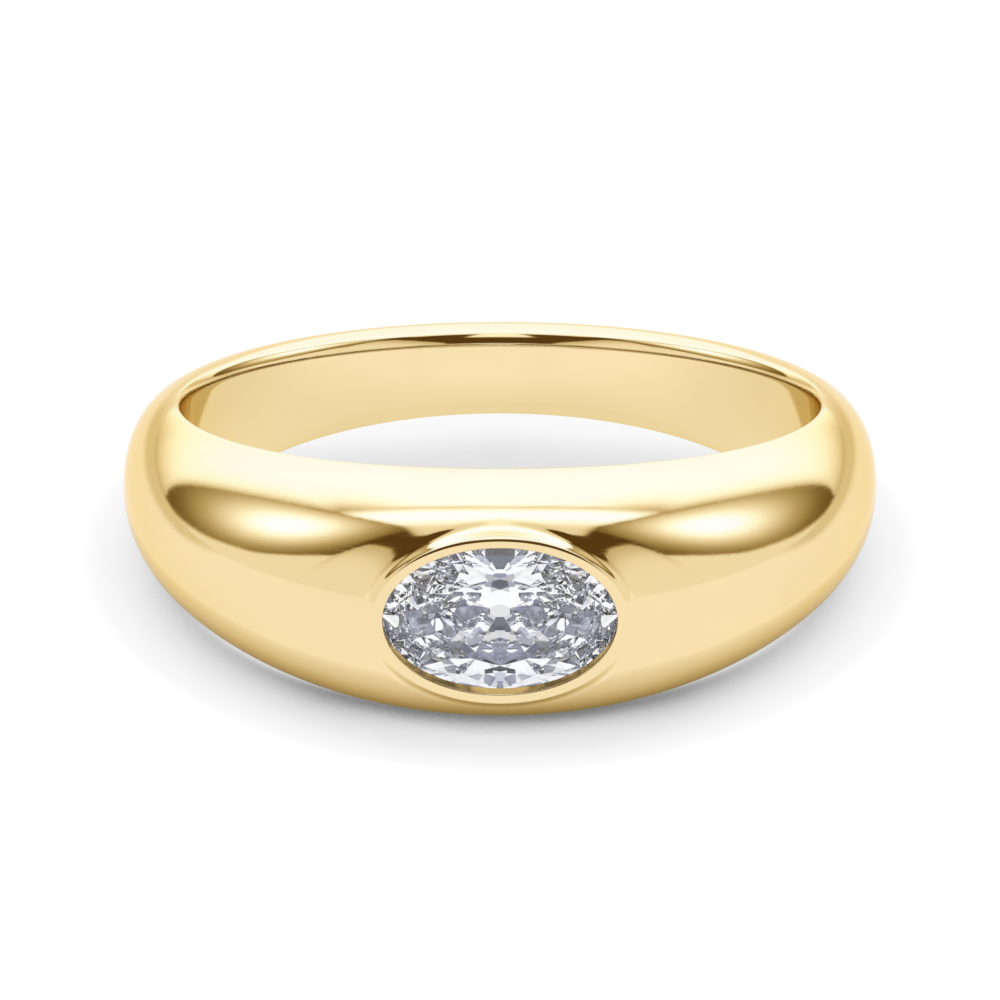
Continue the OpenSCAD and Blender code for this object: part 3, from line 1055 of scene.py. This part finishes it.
class RING_OT_gold_ring(bpy.types.Operator):
    """Makes the gold ring, with its setting and seat, by a node tree"""

    bl_idname = "ring.make_gold_ring"
    bl_label = "Make gold ring"

    def execute(self, context):
        scene = context.scene
        colours = scene.ring_finishes
        finishes = gold_material(colours.gold), painted_shade_wall_material(colours.wall), seat_material(colours.seat)
        made = RingTree(scene.ring_sizes, finishes)
        ring = bpy.data.objects.new("polished_gold_ring", bpy.data.meshes.new("polished_gold_ring"))
        scene.collection.objects.link(ring)
        modifier = ring.modifiers.new("Gold ring", "NODES")
        modifier.node_group = made.tree
        for identifier, value in made.values.items():
            modifier[identifier] = value
        evaluated = ring.evaluated_get(context.evaluated_depsgraph_get())
        mesh = bpy.data.meshes.new_from_object(evaluated)
        ring.modifiers.clear()
        ring.data = mesh
        drop_empty_slots(ring)
        mesh.set_sharp_from_angle(angle=CREASE)
        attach(ring, "root")
        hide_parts("gold_ring")
        return {"FINISHED"}


class RING_OT_oval_stone(bpy.types.Operator):
    """Gives the oval stone its clear finish"""

    bl_idname = "ring.finish_oval_stone"
    bl_label = "Finish oval stone"

    def execute(self, context):
        stone = frame["nodes"]["oval_stone"]
        stone.data.materials.clear()
        stone.data.materials.append(stone_material(context.scene.ring_finishes.stone))
        return {"FINISHED"}


class RING_OT_stage(bpy.types.Operator):
    """Sets up the floor, the light and the camera"""

    bl_idname = "ring.set_stage"
    bl_label = "Set stage"

    def execute(self, context):
        scene = context.scene
        setup = scene.ring_stage
        camera_data = bpy.data.cameras.new("camera")
        camera = bpy.data.objects.new("camera", camera_data)
        scene.collection.objects.link(camera)
        camera_data.lens = setup.lens
        camera_data.clip_start = 1 * MM
        camera_data.clip_end = VIEW_END
        back = Vector((0, -math.cos(setup.elevation), math.sin(setup.elevation)))
        up = Vector((0, math.sin(setup.elevation), math.cos(setup.elevation)))
        camera.location = BORE_CENTRE + back * setup.distance
        aim = BORE_CENTRE - up * setup.drop
        camera.rotation_euler = (aim - camera.location).to_track_quat("-Z", "Y").to_euler()
        scene.camera = camera

        corners = [(x * FLOOR_HALF, y * FLOOR_HALF, 0) for x, y in ((-1, -1), (1, -1), (1, 1), (-1, 1))]
        mesh = bpy.data.meshes.new("floor")
        mesh.from_pydata(corners, [], [(0, 1, 2, 3)])
        floor = bpy.data.objects.new("floor", mesh)
        scene.collection.objects.link(floor)
        mesh.materials.append(floor_material())

        scene.world = studio_light(setup)
        scene.cycles.max_bounces = STONE_BOUNCES
        scene.cycles.glossy_bounces = STONE_BOUNCES
        scene.cycles.transmission_bounces = STONE_BOUNCES
        scene.view_settings.view_transform = "Standard"
        return {"FINISHED"}


class RING_PT_panel(bpy.types.Panel):
    """Lists the ring's sizes, finishes and pieces"""

    bl_idname = "RING_PT_panel"
    bl_label = "Bezel set ring"
    bl_space_type = "VIEW_3D"
    bl_region_type = "UI"
    bl_category = "Ring"

    def draw(self, context):
        for name, group in GROUPS:
            box = self.layout.box()
            settings = getattr(context.scene, name)
            for prop in group.__annotations__:
                box.prop(settings, prop)
        for operator in OPERATORS:
            self.layout.operator(operator.bl_idname)


GROUPS = (("ring_sizes", RingSizes), ("ring_finishes", Finishes), ("ring_stage", StageSetup))
OPERATORS = (RING_OT_gold_ring, RING_OT_oval_stone, RING_OT_stage)


def register():
    for name, group in GROUPS:
        bpy.utils.register_class(group)
        setattr(bpy.types.Scene, name, PointerProperty(type=group))
    for kind in (*OPERATORS, RING_PT_panel):
        bpy.utils.register_class(kind)


def unregister():
    for kind in reversed((*OPERATORS, RING_PT_panel)):
        bpy.utils.unregister_class(kind)
    for name, group in reversed(GROUPS):
        delattr(bpy.types.Scene, name)
        bpy.utils.unregister_class(group)


def main():
    register()
    bpy.ops.ring.make_gold_ring()
    bpy.ops.ring.finish_oval_stone()
    bpy.ops.ring.set_stage()


if __name__ == "__main__":
    main()
